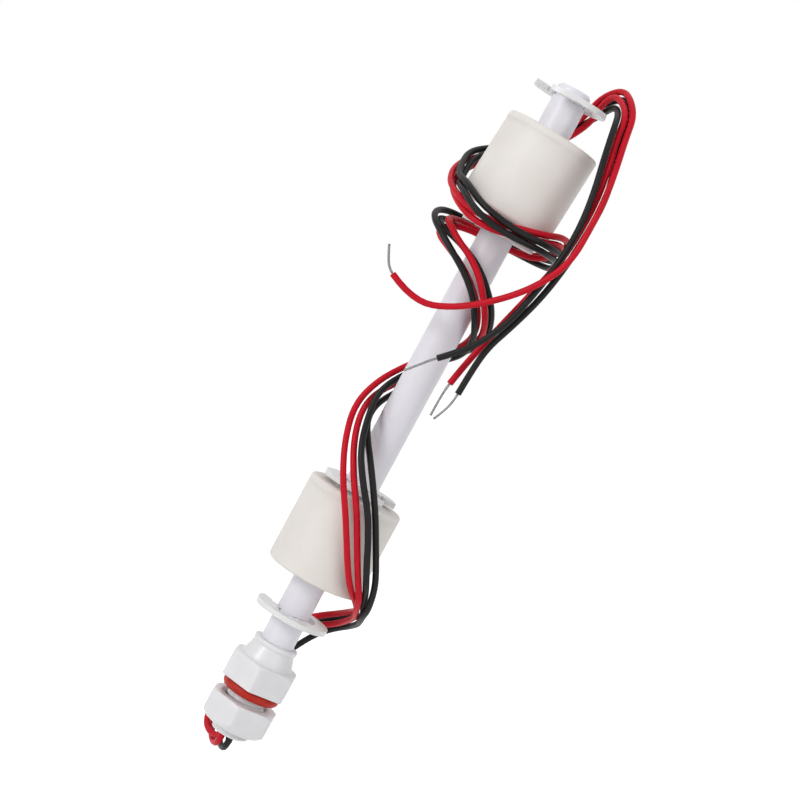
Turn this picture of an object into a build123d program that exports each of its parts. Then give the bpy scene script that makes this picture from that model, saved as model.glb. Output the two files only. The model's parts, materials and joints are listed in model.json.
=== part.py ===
from build123d import *
import math
import os

# Dual float level switch. A threaded fitting carries a closed stem, on which two floats slide
# between retaining clips. Each float's ring magnet works a reed switch inside the stem, and four
# leads leave through the potted shank.
# All lengths are in millimetres. The origin is on the stem's axis, on the flange's sealing face,
# with +Z along the stem towards its closed tip and -Y towards the front.

# Fitting
thread_major = 10.0
thread_pitch = 1.5
thread_mean = thread_major - 0.6495 * thread_pitch
shank_length = 12.4
shank_chamfer = 0.6
flange_across_flats = 15.0
flange_height = 6.3
flange_chamfer = 0.9
hex_turn = 3.0
collar_foot_diameter = 12.2
collar_foot_height = 0.5
collar_neck_diameter = 10.1
collar_cone_height = 3.3
collar_bead_diameter = 10.7
collar_bead_height = 1.1
collar_bead_round = 0.25
lead_bore = 5.6
bond_gap = 0.03

# Stem
stem_diameter = 8.0
stem_bore = 5.6
stem_seat_depth = 9.0
stem_tip_above_keeper = 2.4
stem_tip_wall = 1.6
stem_tip_chamfer = 0.6

# Retaining clips. The room for each float and the spacing of the two switches place them.
clip_diameter = 17.7
clip_thickness = 1.2
clip_relief_diameter = 11.4
clip_prong_width = 3.2
clip_prong_root = 0.6
clip_mouth = 6.2
groove_diameter = 7.0
groove_clearance = 0.05
lower_stop_height = 18.4
lower_float_room = 32.8
switch_spacing = 65.0
upper_float_room = 33.6

# Floats, both the same
float_diameter = 22.6
float_length = 21.3
float_bore = 9.6
float_wall = 1.2
float_floor = 1.5
float_hub_wall = 1.2
float_cap_thickness = 1.8
float_edge_round = 0.8
float_bore_chamfer = 0.4
cap_tongue_depth = 1.6
cap_tongue_width = 1.0
cap_tongue_gap = 0.05
magnet_diameter = 17.0
magnet_height = 6.0
magnet_gap = 0.1
magnet_rise = 5.0
ledge_width = 0.9

# Where the floats rest, as gaps to the clips beside them
lower_float_drop = 0.9
upper_float_rise = 3.0
upper_float_play = 0.1

# Clamping nut and seal
nut_across_flats = 15.2
nut_height = 6.5
nut_chamfer = 0.9
nut_lower_chamfer = 1.7
nut_lower_chamfer_height = 1.6
nut_running_gap = 0.06
nut_bore_chamfer = 0.4
nut_gap = 1.5
o_ring_outer_diameter = 13.9
o_ring_section = 2.38
o_ring_gap = 0.02

# Potting, reed switches and the leads inside the stem
potting_length = 10.0
lead_station_radius = 1.65
reed_glass_diameter = 2.0
reed_glass_length = 12.0
reed_glass_wall = 0.35
reed_seal_length = 1.6
reed_glass_round = 0.6
reed_pin_diameter = 0.46
reed_pin_length = 3.4
reed_leaf_width = 0.9
reed_leaf_thickness = 0.2
reed_leaf_overlap = 1.0
reed_contact_gap = 0.1
sleeve_wall = 0.25
sleeve_grip = 2.0
sleeve_gap = 0.5
lower_reed_rise = 12.6
upper_reed_rise = 11.8
lead_turn_rise = 4.4
lead_turn_ratio = 0.45

# Free leads and their bare ends
wire_diameter = 1.5
tip_diameter = 0.55

os.makedirs("parts", exist_ok=True)

collar_top = flange_height + collar_foot_height + collar_cone_height + collar_bead_height
socket_floor = collar_top - stem_seat_depth
hex_rotation = -90.0 - hex_turn
lower_keeper_height = lower_stop_height + lower_float_room
upper_stop_height = lower_keeper_height + switch_spacing
upper_keeper_height = upper_stop_height + upper_float_room
stem_tip_height = upper_keeper_height + stem_tip_above_keeper
lower_reed_height = lower_stop_height + lower_reed_rise
upper_reed_height = upper_stop_height + upper_reed_rise


# Fitting: chamfered hexagonal flange, stepped collar for the stem and a bored shank
flange_corner = flange_across_flats / math.sqrt(3)
with BuildPart() as fitting_body:
    with BuildSketch(Plane.XY):
        RegularPolygon(flange_corner, 6, rotation=hex_rotation)
    extrude(amount=flange_height)
    with BuildSketch(Plane.XZ):
        with BuildLine():
            Polyline(
                (0, 0),
                (flange_corner, 0),
                (flange_corner, flange_height - flange_chamfer * math.tan(math.radians(40))),
                (flange_corner - flange_chamfer, flange_height),
                (0, flange_height),
                close=True,
            )
        make_face()
    revolve(axis=Axis.Z, mode=Mode.INTERSECT)
    with BuildSketch(Plane.XZ) as collar_profile:
        with BuildLine():
            Polyline(
                (0, flange_height),
                (collar_foot_diameter / 2, flange_height),
                (collar_foot_diameter / 2, flange_height + collar_foot_height),
                (collar_neck_diameter / 2, collar_top - collar_bead_height),
                (collar_bead_diameter / 2, collar_top - collar_bead_height),
                (collar_bead_diameter / 2, collar_top),
                (0, collar_top),
                close=True,
            )
        make_face()
        bead_corners = collar_profile.vertices().filter_by_position(
            Axis.X, collar_bead_diameter / 2 - 0.01, collar_bead_diameter / 2 + 0.01
        )
        fillet(bead_corners, radius=collar_bead_round)
    revolve(axis=Axis.Z)
    with BuildSketch(Plane.XY):
        Circle(thread_mean / 2)
    extrude(amount=-shank_length)
    chamfer(fitting_body.edges().sort_by(Axis.Z)[0], length=shank_chamfer)
    with BuildSketch(Plane.XY.offset(-shank_length)):
        Circle(lead_bore / 2)
    extrude(amount=shank_length + socket_floor, mode=Mode.SUBTRACT)
    with BuildSketch(Plane.XY.offset(socket_floor)):
        Circle(stem_diameter / 2 + bond_gap)
    extrude(amount=stem_seat_depth, mode=Mode.SUBTRACT)
fitting_body.part.label = "fitting_body"
export_step(fitting_body.part, "parts/fitting_body.step")


# Stem: a tube closed at its tip, with a groove for each clip
groove_width = clip_thickness + 2 * groove_clearance
clip_heights = [lower_stop_height, lower_keeper_height, upper_stop_height, upper_keeper_height]
with BuildPart() as stem_tube:
    with BuildSketch(Plane.XY.offset(socket_floor)):
        Circle(stem_diameter / 2)
    extrude(amount=stem_tip_height - socket_floor)
    chamfer(stem_tube.edges().sort_by(Axis.Z)[-1], length=stem_tip_chamfer)
    with BuildSketch(Plane.XY.offset(socket_floor)):
        Circle(stem_bore / 2)
    extrude(amount=stem_tip_height - stem_tip_wall - socket_floor, mode=Mode.SUBTRACT)
    for height in clip_heights:
        with BuildSketch(Plane.XY.offset(height - groove_width / 2)):
            Circle(stem_diameter)
            Circle(groove_diameter / 2, mode=Mode.SUBTRACT)
        extrude(amount=groove_width, mode=Mode.SUBTRACT)
stem_tube.part.label = "stem_tube"
export_step(stem_tube.part, "parts/stem_tube.step")


# Clips: open rings that snap into the grooves, held by three prongs
clip_names = ["lower_stop_clip", "lower_keeper_clip", "upper_stop_clip", "upper_keeper_clip"]
clip_turns = [130.0, 335.0, 150.0, 215.0]
prong_length = (clip_relief_diameter - groove_diameter) / 2 + clip_prong_root
for clip_name, height, turn in zip(clip_names, clip_heights, clip_turns):
    with BuildPart() as clip:
        with BuildSketch(Plane.XY.offset(height - clip_thickness / 2).rotated((0, 0, turn))):
            Circle(clip_diameter / 2)
            Circle(clip_relief_diameter / 2, mode=Mode.SUBTRACT)
            with PolarLocations(groove_diameter / 2 + prong_length / 2, 3, start_angle=60):
                Rectangle(prong_length, clip_prong_width)
            Circle(groove_diameter / 2 + groove_clearance, mode=Mode.SUBTRACT)
            with Locations((clip_diameter / 2, 0)):
                Rectangle(clip_diameter, clip_mouth, mode=Mode.SUBTRACT)
        extrude(amount=clip_thickness)
    clip.part.label = clip_name
    export_step(clip.part, "parts/" + clip_name + ".step")


# Floats: hollow shells with a hub tube, a ring magnet on the hub's ledge and a welded cap.
# The upper one leans over by as much as its loose bore lets it.
float_half = float_length / 2
hub_radius = float_bore / 2 + float_hub_wall
ledge_radius = hub_radius + ledge_width
shell_top = float_half - float_cap_thickness
ledge_level = -float_half + magnet_rise
lean_play = float_bore / 2 - stem_diameter / 2 - upper_float_play
upper_lean = math.atan(2 * lean_play / float_length)
lower_float_centre = lower_keeper_height - clip_thickness / 2 - lower_float_drop - float_half
upper_float_centre = upper_stop_height + clip_thickness / 2 + upper_float_rise + float_half
float_places = [
    ("lower_float", lower_float_centre, 0.0),
    ("upper_float", upper_float_centre, upper_lean),
]
for float_name, centre, lean in float_places:
    float_axis = Axis((0, 0, centre), (math.sin(lean), 0, math.cos(lean)))
    float_plane = Plane(
        origin=(0, 0, centre), x_dir=(math.cos(lean), 0, -math.sin(lean)), z_dir=(0, -1, 0)
    )

    with BuildPart() as float_shell:
        with BuildSketch(float_plane) as shell_profile:
            with BuildLine():
                Polyline(
                    (float_bore / 2, -float_half),
                    (float_diameter / 2, -float_half),
                    (float_diameter / 2, shell_top),
                    (float_diameter / 2 - float_wall, shell_top),
                    (float_diameter / 2 - float_wall, -float_half + float_floor),
                    (ledge_radius, -float_half + float_floor),
                    (ledge_radius, ledge_level),
                    (hub_radius, ledge_level),
                    (hub_radius, shell_top),
                    (float_bore / 2, shell_top),
                    close=True,
                )
            make_face()
            base_corners = shell_profile.vertices().group_by(Axis.Y)[0].sort_by(Axis.X)
            fillet(base_corners[-1], radius=float_edge_round)
            chamfer(base_corners[0], length=float_bore_chamfer)
        revolve(axis=float_axis)
    float_shell.part.label = float_name + "_shell"
    export_step(float_shell.part, "parts/" + float_name + "_shell.step")

    with BuildPart() as float_cap:
        with BuildSketch(float_plane) as cap_profile:
            with BuildLine():
                Polyline(
                    (float_bore / 2, shell_top),
                    (float_diameter / 2, shell_top),
                    (float_diameter / 2, float_half),
                    (float_bore / 2, float_half),
                    close=True,
                )
            make_face()
            top_corners = cap_profile.vertices().group_by(Axis.Y)[-1].sort_by(Axis.X)
            fillet(top_corners[-1], radius=float_edge_round)
            chamfer(top_corners[0], length=float_bore_chamfer)
        revolve(axis=float_axis)
        tongue_outer = float_diameter / 2 - float_wall - cap_tongue_gap
        with BuildSketch(float_plane):
            with BuildLine():
                Polyline(
                    (tongue_outer - cap_tongue_width, shell_top),
                    (tongue_outer, shell_top),
                    (tongue_outer, shell_top - cap_tongue_depth),
                    (tongue_outer - cap_tongue_width, shell_top - cap_tongue_depth),
                    close=True,
                )
            make_face()
        revolve(axis=float_axis)
    float_cap.part.label = float_name + "_cap"
    export_step(float_cap.part, "parts/" + float_name + "_cap.step")

    with BuildPart() as float_magnet:
        with BuildSketch(float_plane):
            with BuildLine():
                Polyline(
                    (hub_radius + magnet_gap, ledge_level),
                    (magnet_diameter / 2, ledge_level),
                    (magnet_diameter / 2, ledge_level + magnet_height),
                    (hub_radius + magnet_gap, ledge_level + magnet_height),
                    close=True,
                )
            make_face()
        revolve(axis=float_axis)
    float_magnet.part.label = float_name + "_magnet"
    export_step(float_magnet.part, "parts/" + float_name + "_magnet.step")


# Seal ring under the flange
o_ring_radius = (o_ring_outer_diameter - o_ring_section) / 2
with BuildPart() as o_ring:
    with BuildSketch(Plane.XZ):
        with Locations((o_ring_radius, -o_ring_section / 2 - o_ring_gap)):
            Circle(o_ring_section / 2)
    revolve(axis=Axis.Z)
o_ring.part.label = "o_ring"
export_step(o_ring.part, "parts/o_ring.step")


# Clamping nut: its corners are turned off at both ends, more deeply at the lower one
nut_top = -o_ring_gap - o_ring_section - nut_gap
nut_corner = nut_across_flats / math.sqrt(3)
nut_bore = thread_mean + 2 * nut_running_gap
nut_slope = nut_chamfer * math.tan(math.radians(40))
with BuildPart() as clamp_nut:
    with BuildSketch(Plane.XY.offset(nut_top - nut_height)):
        RegularPolygon(nut_corner, 6, rotation=hex_rotation)
    extrude(amount=nut_height)
    with BuildSketch(Plane.XZ):
        with BuildLine():
            Polyline(
                (0, nut_top),
                (nut_corner - nut_chamfer, nut_top),
                (nut_corner, nut_top - nut_slope),
                (nut_corner, nut_top - nut_height + nut_lower_chamfer_height),
                (nut_corner - nut_lower_chamfer, nut_top - nut_height),
                (0, nut_top - nut_height),
                close=True,
            )
        make_face()
    revolve(axis=Axis.Z, mode=Mode.INTERSECT)
    with BuildSketch(Plane.XY.offset(nut_top - nut_height)):
        Circle(nut_bore / 2)
    extrude(amount=nut_height, mode=Mode.SUBTRACT)
    bore_rims = clamp_nut.edges().filter_by(GeomType.CIRCLE).filter_by(
        lambda rim: abs(rim.radius - nut_bore / 2) < 0.001
    )
    chamfer(bore_rims, length=nut_bore_chamfer)
clamp_nut.part.label = "clamp_nut"
export_step(clamp_nut.part, "parts/clamp_nut.step")


# Potting: the resin that seals the bore where the leads pass through
potting_top = potting_length - shank_length
with BuildPart() as potting:
    with BuildSketch(Plane.XY.offset(-shank_length)):
        Circle(lead_bore / 2 - bond_gap)
    extrude(amount=potting_length)
potting.part.label = "potting"
export_step(potting.part, "parts/potting.step")


# Reed switches: a glass tube sealed round two spring leaves that overlap in its middle
def corner_radii(points):
    corners = [Vector(point) for point in points]
    radii = []
    for before, corner, after in zip(corners, corners[1:], corners[2:]):
        run_in = corner - before
        run_out = after - corner
        half_turn = math.radians(run_in.get_angle(run_out)) / 2
        radii.append(0.45 * min(run_in.length, run_out.length) / math.tan(half_turn))
    return radii


reed_half = reed_glass_length / 2
glass_inner = reed_glass_diameter / 2 - reed_glass_wall
leaf_offset = (reed_contact_gap + reed_leaf_thickness) / 2
lead_radius = wire_diameter / 2
reeds = [
    ("lower", "black", lower_reed_height, -90.0, 180.0),
    ("upper", "red", upper_reed_height, 0.0, 90.0),
]
for reed_name, colour, height, station, return_station in reeds:
    reed_x = lead_station_radius * math.cos(math.radians(station))
    reed_y = lead_station_radius * math.sin(math.radians(station))
    return_x = lead_station_radius * math.cos(math.radians(return_station))
    return_y = lead_station_radius * math.sin(math.radians(return_station))

    with BuildPart() as reed_glass:
        with BuildSketch(Plane((reed_x, reed_y, height - reed_half))):
            Circle(reed_glass_diameter / 2)
        extrude(amount=reed_glass_length)
        round_rims = reed_glass.edges().filter_by(GeomType.CIRCLE)
        fillet(round_rims, radius=reed_glass_round)
        with BuildSketch(Plane((reed_x, reed_y, height - reed_half + reed_seal_length))):
            Circle(glass_inner)
        extrude(amount=reed_glass_length - 2 * reed_seal_length, mode=Mode.SUBTRACT)
        with BuildSketch(Plane((reed_x, reed_y, height - reed_half))):
            Circle(reed_pin_diameter / 2)
        extrude(amount=reed_glass_length, mode=Mode.SUBTRACT)
    reed_glass.part.label = reed_name + "_reed_glass"
    export_step(reed_glass.part, "parts/" + reed_name + "_reed_glass.step")

    for end_name, side in (("bottom", -1), ("top", 1)):
        pin_end = height + side * (reed_half + reed_pin_length)
        leaf_root = height + side * (reed_half - reed_seal_length)
        leaf_tip = height - side * reed_leaf_overlap / 2
        with BuildPart() as reed_leaf:
            with BuildSketch(Plane((reed_x, reed_y, pin_end))):
                Circle(reed_pin_diameter / 2)
            extrude(amount=leaf_root - pin_end)
            with BuildSketch(Plane((reed_x, reed_y + side * leaf_offset, leaf_root))):
                Rectangle(reed_leaf_width, reed_leaf_thickness)
            extrude(amount=leaf_tip - leaf_root)
        reed_leaf.part.label = reed_name + "_reed_leaf_" + end_name
        export_step(reed_leaf.part, "parts/" + reed_leaf.part.label + ".step")

        sleeve_start = pin_end + side * sleeve_grip
        sleeve_end = height + side * (reed_half + sleeve_gap)
        with BuildPart() as sleeve:
            with BuildSketch(Plane((reed_x, reed_y, sleeve_start))):
                Circle(lead_radius + sleeve_wall)
                Circle(lead_radius, mode=Mode.SUBTRACT)
            extrude(amount=sleeve_end - sleeve_start)
        sleeve.part.label = reed_name + "_reed_sleeve_" + end_name
        export_step(sleeve.part, "parts/" + sleeve.part.label + ".step")

    with BuildPart() as inner_lead:
        with BuildSketch(Plane((reed_x, reed_y, potting_top))):
            Circle(lead_radius)
        extrude(amount=height - reed_half - reed_pin_length - potting_top)
    inner_lead.part.label = "inner_lead_" + colour + "_1"
    export_step(inner_lead.part, "parts/" + inner_lead.part.label + ".step")

    turn_height = height + reed_half + reed_pin_length + lead_turn_rise
    return_points = [
        (return_x, return_y, potting_top),
        (return_x, return_y, turn_height),
        (reed_x, reed_y, turn_height),
        (reed_x, reed_y, height + reed_half + reed_pin_length),
    ]
    turn_radius = lead_turn_ratio * math.hypot(reed_x - return_x, reed_y - return_y)
    with BuildPart() as return_lead:
        with BuildLine() as return_path:
            FilletPolyline(*return_points, radius=turn_radius)
        with BuildSketch(Plane(return_points[0])):
            Circle(lead_radius)
        sweep(path=return_path.line)
    return_lead.part.label = "inner_lead_" + colour + "_2"
    export_step(return_lead.part, "parts/" + return_lead.part.label + ".step")


# Free leads: each leaves the potting, runs up behind the fitting, winds round the lower float,
# the stem and the upper float, loops over beside the tip and hangs down in front
red_1_points = [
    (-1.0, 1.0, -12.4), (-1.0, 1.0, -14.0), (-2.1, 2.3, -14.9), (-3.9, 4.3, -15.3),
    (-5.4, 6.8, -14.8), (-6.3, 9.4, -12.9), (-6.8, 11.4, -9.4), (-6.8, 12.8, -4.4),
    (-5.8, 13.4, 1.2), (-4.0, 13.5, 6.6), (-1.4, 13.4, 11.4), (1.8, 12.9, 15.4),
    (5.4, 11.7, 18.9), (9.0, 9.4, 21.8), (11.8, 5.4, 24.4), (13.0, -0.4, 26.8),
    (11.6, -6.4, 28.8), (9.1, -10.6, 31.2), (6.9, -12.5, 34.2), (4.6, -13.2, 38.0),
    (2.2, -13.7, 42.2), (-0.8, -13.9, 47.2), (-4.8, -13.2, 53.4), (-8.2, -10.2, 60.4),
    (-10.1, -4.2, 67.8), (-8.0, 2.6, 74.6), (-3.6, 6.8, 80.8), (1.4, 7.4, 86.0),
    (5.4, 4.2, 90.4), (6.2, -0.8, 94.6), (4.2, -5.0, 99.2), (0.4, -6.4, 103.2),
    (-4.2, -6.6, 106.4), (-8.6, -5.6, 108.4), (-11.6, -2.4, 109.8), (-12.0, 2.0, 111.4),
    (-9.4, 5.6, 112.7), (-4.4, 6.9, 113.4), (1.4, 7.1, 113.9), (6.8, 7.0, 114.2),
    (11.1, 6.3, 115.3), (13.6, 2.9, 118.0), (14.0, -1.6, 119.9), (12.8, -6.2, 120.2),
    (9.2, -10.0, 118.7), (3.6, -13.0, 117.2), (-2.0, -13.2, 115.9), (-7.4, -11.5, 116.2),
    (-11.6, -7.4, 118.2), (-14.0, -1.4, 120.4), (-14.4, 4.2, 123.7), (-12.4, 8.3, 127.5),
    (-8.4, 11.8, 130.9), (-4.0, 13.2, 135.6), (-0.6, 13.3, 140.8), (2.8, 13.2, 145.2),
    (4.9, 12.4, 149.9), (6.0, 9.2, 154.5), (9.0, 5.3, 157.6), (11.4, 1.0, 156.7),
    (13.7, -3.2, 152.8), (14.5, -6.3, 147.4), (15.4, -10.6, 141.1), (16.8, -13.5, 133.4),
    (16.9, -15.3, 125.4), (15.4, -16.0, 117.8), (12.0, -15.9, 110.8), (6.9, -14.4, 104.0),
    (-0.8, -12.8, 97.0), (-9.4, -11.6, 94.0), (-16.1, -10.8, 97.3),
]
red_2_points = [
    (-1.0, -1.0, -12.4), (-1.0, -1.0, -14.4), (-1.2, 0.6, -16.0), (-2.0, 3.2, -16.8),
    (-3.2, 6.2, -16.4), (-4.2, 9.0, -14.6), (-4.9, 11.3, -11.0), (-5.0, 12.8, -6.0),
    (-4.1, 13.4, -0.4), (-2.5, 13.5, 5.0), (-0.1, 13.5, 9.6), (2.9, 13.2, 13.5),
    (6.5, 12.0, 16.9), (9.9, 9.6, 19.5), (12.3, 5.6, 22.3), (13.3, 0.4, 24.8),
    (13.4, -5.2, 26.8), (12.1, -9.5, 30.0), (9.4, -12.0, 34.0), (6.9, -12.9, 38.4),
    (4.2, -13.5, 43.4), (1.2, -13.9, 48.8), (-2.8, -13.4, 54.6), (-6.4, -10.6, 61.2),
    (-8.1, -4.8, 67.2), (-7.2, 2.4, 71.6), (-3.2, 7.0, 75.6), (2.2, 7.4, 80.4),
    (6.4, 4.0, 85.2), (7.8, -1.2, 90.0), (7.2, -5.4, 95.4), (4.8, -8.2, 100.8),
    (1.4, -9.2, 105.2), (-2.8, -8.8, 108.6), (-7.4, -7.0, 110.8), (-10.8, -3.7, 113.2),
    (-11.6, 1.0, 114.0), (-9.6, 5.4, 114.5), (-5.4, 8.4, 114.6), (0.6, 8.9, 114.3),
    (6.8, 8.9, 114.6), (11.8, 7.4, 116.8), (14.5, 3.2, 119.6), (14.9, -1.6, 121.6),
    (13.0, -6.2, 122.0), (9.4, -10.0, 120.5), (3.8, -13.0, 119.0), (-2.0, -13.4, 117.6),
    (-7.5, -12.6, 117.7), (-12.3, -8.2, 119.4), (-15.2, -2.0, 121.4), (-15.8, 3.6, 124.9),
    (-14.0, 9.2, 128.2), (-9.6, 13.3, 131.9), (-3.9, 15.2, 135.5), (0.9, 14.7, 139.6),
    (4.3, 13.7, 144.2), (6.6, 12.3, 148.9), (6.8, 8.2, 152.6), (8.1, 4.5, 155.6),
    (10.2, 1.0, 155.0), (12.0, -3.9, 152.2), (13.0, -7.4, 147.0), (13.6, -11.3, 140.9),
    (13.9, -13.3, 133.4), (14.1, -12.7, 125.6), (14.3, -12.1, 117.0), (12.6, -11.2, 107.8),
    (10.4, -10.4, 99.6), (8.6, -9.8, 92.6), (7.2, -9.6, 87.0), (6.3, -9.6, 82.0),
]
black_1_points = [
    (1.0, -1.0, -12.4), (1.0, -1.0, -14.6), (0.8, 0.8, -16.2), (0.1, 3.6, -17.0),
    (-1.0, 6.6, -16.6), (-2.0, 9.5, -14.8), (-2.7, 12.0, -11.2), (-3.2, 14.0, -6.2),
    (-3.2, 15.1, -0.6), (-2.3, 15.3, 5.0), (-0.4, 15.2, 10.4), (2.6, 14.8, 14.8),
    (6.2, 13.7, 18.2), (9.9, 11.4, 21.0), (12.8, 7.4, 23.6), (14.7, 1.6, 26.3),
    (14.1, -4.6, 29.0), (12.6, -9.9, 32.0), (10.7, -12.3, 35.4), (8.9, -13.5, 39.2),
    (7.0, -14.3, 43.4), (4.0, -14.9, 49.0), (-0.6, -14.2, 54.8), (-4.4, -12.4, 60.8),
    (-6.2, -6.8, 67.4), (-6.8, 0.2, 72.8), (-3.4, 6.6, 78.2), (1.8, 7.0, 83.0),
    (5.8, 4.2, 87.6), (6.6, -0.8, 91.8), (4.9, -5.4, 96.2), (2.0, -8.0, 101.0),
    (-2.2, -8.8, 104.8), (-7.0, -8.6, 107.8), (-11.3, -6.6, 110.4), (-14.6, -2.4, 112.8),
    (-14.6, 3.2, 114.8), (-11.2, 7.8, 115.9), (-5.6, 10.2, 115.6), (0.8, 10.6, 115.4),
    (7.0, 10.5, 115.5), (12.2, 9.4, 116.2), (15.0, 5.2, 117.0), (15.3, -1.4, 118.4),
    (13.2, -7.9, 118.5), (9.8, -12.0, 118.6), (3.6, -14.9, 118.2), (-1.8, -15.1, 119.4),
    (-7.3, -12.8, 121.7), (-11.9, -7.6, 122.2), (-14.1, -2.5, 123.5), (-14.7, 2.8, 126.6),
    (-14.5, 8.6, 130.0), (-10.0, 13.0, 133.5), (-4.6, 16.1, 137.0), (0.9, 16.1, 141.3),
    (4.1, 15.2, 145.9), (7.2, 13.3, 150.4), (8.7, 8.9, 152.8), (9.7, 4.8, 153.5),
    (11.0, 1.6, 153.3), (12.4, -2.8, 150.9), (12.6, -5.8, 146.3), (13.4, -9.5, 140.5),
    (15.4, -12.2, 133.4), (15.7, -14.1, 125.6), (14.7, -14.0, 117.6), (13.4, -13.9, 109.6),
    (11.4, -13.9, 100.8), (8.6, -13.9, 94.6), (5.3, -13.8, 89.8), (1.2, -13.4, 85.8),
]
black_2_points = [
    (1.0, 1.0, -12.4), (1.0, 1.0, -14.0), (1.2, 2.8, -15.0), (0.9, 5.6, -15.3),
    (0.2, 8.6, -14.6), (-0.4, 11.2, -12.0), (-0.9, 13.0, -7.4), (-1.1, 14.2, -2.2),
    (-0.6, 15.0, 3.0), (0.9, 15.2, 8.0), (3.5, 15.0, 12.1), (6.9, 14.0, 15.7),
    (10.5, 11.8, 18.6), (13.4, 8.0, 21.2), (15.3, 2.6, 23.9), (15.3, -3.2, 26.5),
    (15.2, -7.5, 29.4), (13.9, -9.7, 34.0), (11.5, -11.2, 38.4), (9.1, -12.2, 42.8),
    (6.0, -13.5, 48.6), (2.4, -13.2, 54.2), (-1.2, -10.8, 59.2), (-4.4, -6.8, 63.2),
    (-6.2, -1.6, 66.6), (-5.6, 4.0, 70.2), (-1.6, 7.2, 74.2), (3.4, 7.4, 78.4),
    (7.6, 4.2, 82.8), (9.6, -0.6, 88.0), (9.3, -2.6, 94.4), (7.0, -4.6, 100.4),
    (3.6, -6.0, 105.0), (-1.4, -6.2, 108.2), (-6.6, -4.8, 110.4), (-11.6, -2.3, 111.6),
    (-13.6, 2.0, 112.9), (-12.0, 7.2, 113.7), (-7.4, 10.9, 114.0), (-1.4, 12.3, 114.4),
    (5.2, 12.2, 114.5), (11.4, 10.3, 114.1), (14.0, 5.6, 115.3), (14.2, -1.4, 116.8),
    (12.6, -7.9, 116.9), (9.4, -11.9, 117.0), (3.6, -14.9, 116.6), (-1.8, -15.3, 117.6),
    (-7.2, -13.2, 119.9), (-11.3, -7.6, 120.5), (-13.0, -2.2, 121.9), (-13.2, 3.4, 125.1),
    (-12.8, 7.4, 129.3), (-8.8, 11.5, 133.1), (-5.1, 14.3, 138.0), (-0.4, 15.5, 142.6),
    (2.5, 14.5, 147.0), (5.8, 13.5, 151.6), (8.1, 9.7, 154.4), (10.3, 5.6, 156.0),
    (12.2, 2.1, 155.6), (13.8, -1.6, 151.6), (14.1, -5.0, 146.4), (15.1, -8.8, 140.5),
    (17.0, -11.2, 133.8), (17.0, -12.6, 125.8), (16.4, -12.0, 116.8), (14.8, -12.0, 107.6),
    (12.2, -12.0, 99.4), (9.8, -12.0, 93.0), (9.1, -12.0, 86.6), (8.9, -12.0, 81.0),
]
wires = [
    ("red_1", red_1_points),
    ("red_2", red_2_points),
    ("black_1", black_1_points),
    ("black_2", black_2_points),
]
# The bare ends carry on from the last point of each lead
tips = [
    ("red_1", [(-16.1, -10.8, 97.3), (-17.2, -10.7, 97.9), (-18.6, -10.5, 99.8), (-19.9, -10.3, 102.7)]),
    ("red_2", [(6.3, -9.6, 82.0), (6.1, -9.6, 80.9), (5.9, -9.7, 77.6), (5.9, -9.8, 73.9)]),
    ("black_1", [(1.2, -13.4, 85.8), (0.3, -13.3, 85.0), (-1.7, -13.2, 82.6), (-3.9, -13.0, 80.0)]),
    ("black_2", [(8.9, -12.0, 81.0), (8.85, -12.0, 79.7), (8.2, -12.0, 76.6), (6.8, -12.0, 73.7)]),
]
for wire_name, points in wires:
    with BuildPart() as wire:
        with BuildLine() as route:
            FilletPolyline(*points, radius=corner_radii(points))
        with BuildSketch(Plane(origin=route.line @ 0, z_dir=route.line % 0)):
            Circle(wire_diameter / 2)
        sweep(path=route.line)
    wire.part.label = "wire_" + wire_name
    export_step(wire.part, "parts/wire_" + wire_name + ".step")
    route_length = route.wire().length
    section = math.pi * wire_diameter ** 2 / 4
    print("wire", wire_name, "length", round(route_length, 1))
    print("  volume over section times length", round(wire.part.volume / section / route_length, 5))
    print("  radii", [round(radius, 1) for radius in corner_radii(points)])

for tip_name, points in tips:
    with BuildPart() as tip:
        with BuildLine() as route:
            FilletPolyline(*points, radius=corner_radii(points))
        with BuildSketch(Plane(origin=route.line @ 0, z_dir=route.line % 0)):
            Circle(tip_diameter / 2)
        sweep(path=route.line)
    tip.part.label = "wire_tip_" + tip_name
    export_step(tip.part, "parts/wire_tip_" + tip_name + ".step")
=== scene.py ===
# Dual float level switch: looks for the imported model, dressed in metres in the model's own frame
import json
import math

import bmesh
import bpy
from mathutils import Matrix, Vector


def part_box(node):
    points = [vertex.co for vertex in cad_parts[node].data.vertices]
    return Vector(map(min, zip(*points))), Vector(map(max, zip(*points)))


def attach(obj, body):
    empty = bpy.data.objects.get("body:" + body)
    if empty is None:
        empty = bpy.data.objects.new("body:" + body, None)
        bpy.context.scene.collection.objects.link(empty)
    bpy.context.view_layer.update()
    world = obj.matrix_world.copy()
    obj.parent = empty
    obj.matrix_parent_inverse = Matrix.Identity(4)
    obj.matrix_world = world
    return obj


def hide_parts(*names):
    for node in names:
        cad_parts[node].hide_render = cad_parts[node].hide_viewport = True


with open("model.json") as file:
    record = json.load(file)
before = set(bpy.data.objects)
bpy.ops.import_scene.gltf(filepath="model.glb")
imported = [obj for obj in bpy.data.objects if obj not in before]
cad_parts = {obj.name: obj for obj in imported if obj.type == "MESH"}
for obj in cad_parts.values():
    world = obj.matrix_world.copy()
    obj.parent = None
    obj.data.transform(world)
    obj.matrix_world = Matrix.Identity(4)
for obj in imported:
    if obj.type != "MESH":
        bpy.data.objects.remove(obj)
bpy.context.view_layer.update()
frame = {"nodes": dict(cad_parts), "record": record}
nodes = frame["nodes"]
MM = 0.001


# Colours as they look on screen, turned into the values that shaders take
def screen_colour(red, green, blue):
    channels = []
    for value in (red, green, blue):
        share = value / 255
        if share <= 0.04045:
            channels.append(share / 12.92)
        else:
            channels.append(((share + 0.055) / 1.055) ** 2.4)
    return (channels[0], channels[1], channels[2], 1.0)


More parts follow.
